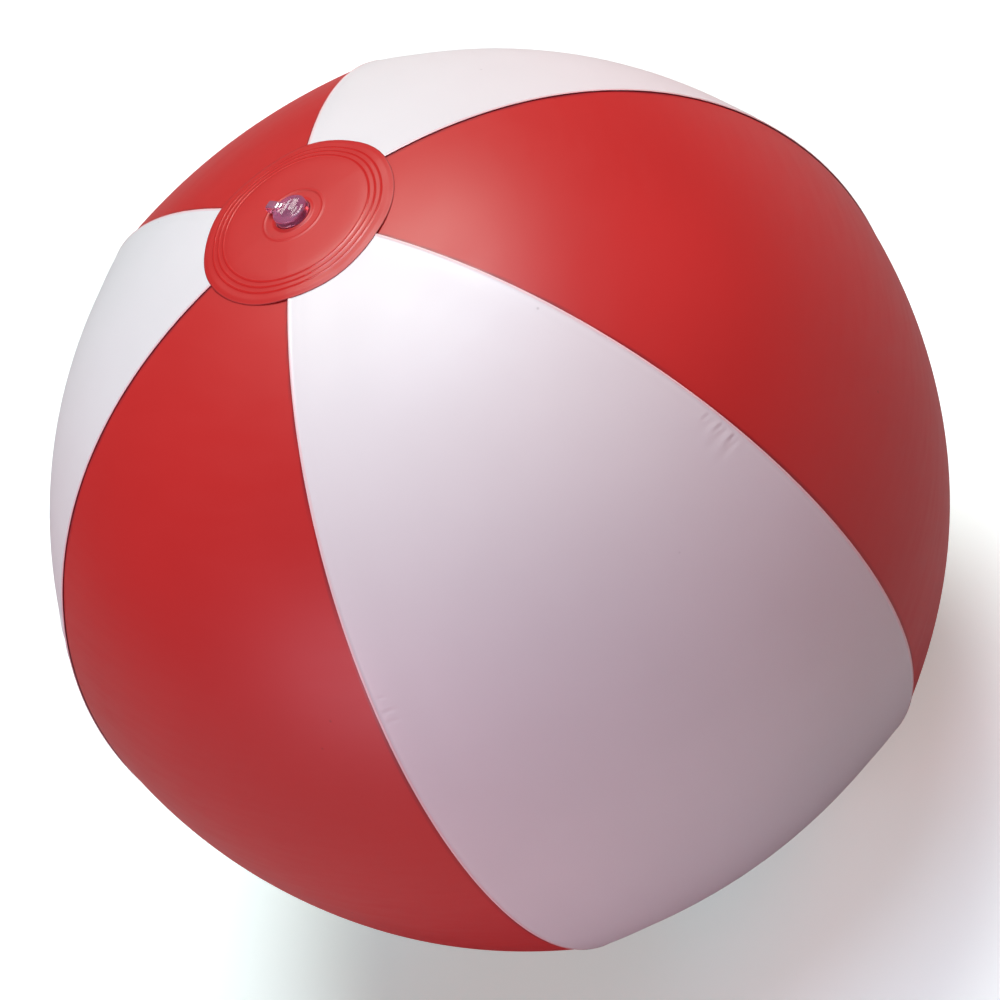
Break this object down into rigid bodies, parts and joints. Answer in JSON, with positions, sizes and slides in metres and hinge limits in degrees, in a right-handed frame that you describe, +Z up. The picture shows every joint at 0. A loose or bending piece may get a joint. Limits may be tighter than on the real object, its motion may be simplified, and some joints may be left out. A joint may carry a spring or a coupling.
{
  "type": "inflatable beach ball",
  "caption": "Blown-up beach ball of lapped red and white film gores with a round patch over each pole and a push-in valve with a strapped plug.",
  "frame": {"origin": "centre of the flat seat on the plain patch, which the ball stands on", "axes": "+Z up along the valve's axis, out of the valve; -Y out of the middle of a white panel"},
  "size_m": [0.2712, 0.2623, 0.2569],
  "materials": {
    "red_film": "satin red PVC film",
    "white_film": "satin white PVC film",
    "clear_vinyl": "moulded clear soft PVC with a violet tint"
  },
  "bodies": {
    "ball": {"gore_white_1": "white_film", "gore_white_2": "white_film", "gore_white_3": "white_film", "gore_red_1": "red_film", "gore_red_2": "red_film", "gore_red_3": "red_film", "valve_patch": "red_film", "plain_patch": "red_film", "valve_flange": "clear_vinyl", "valve_skirt": "clear_vinyl"},
    "valve_stem": {"valve_stem": "clear_vinyl", "plug_strap": "clear_vinyl"},
    "plug": {"plug": "clear_vinyl"},
    "check_flap": {"check_flap": "clear_vinyl"}
  },
  "joints": [
    {"name": "valve_slide", "type": "slide", "parent": "ball", "child": "valve_stem", "axis": [0, 0, 1], "range_m": [0, 0.012], "deforming": ["valve_skirt"]},
    {"name": "plug_swing", "type": "hinge", "parent": "valve_stem", "child": "plug", "pos_m": [-0.0035, 0.00606, 0.2553], "axis": [-0.866, -0.5, 0], "range_deg": [0, 150]},
    {"name": "check_flap_hinge", "type": "hinge", "parent": "valve_stem", "child": "check_flap", "pos_m": [-0.0018, 0.00312, 0.24125], "axis": [0.866, 0.5, 0], "range_deg": [0, 60], "stiffness_Nm_per_rad": 0.00002, "springref_deg": -5.73}
  ]
}
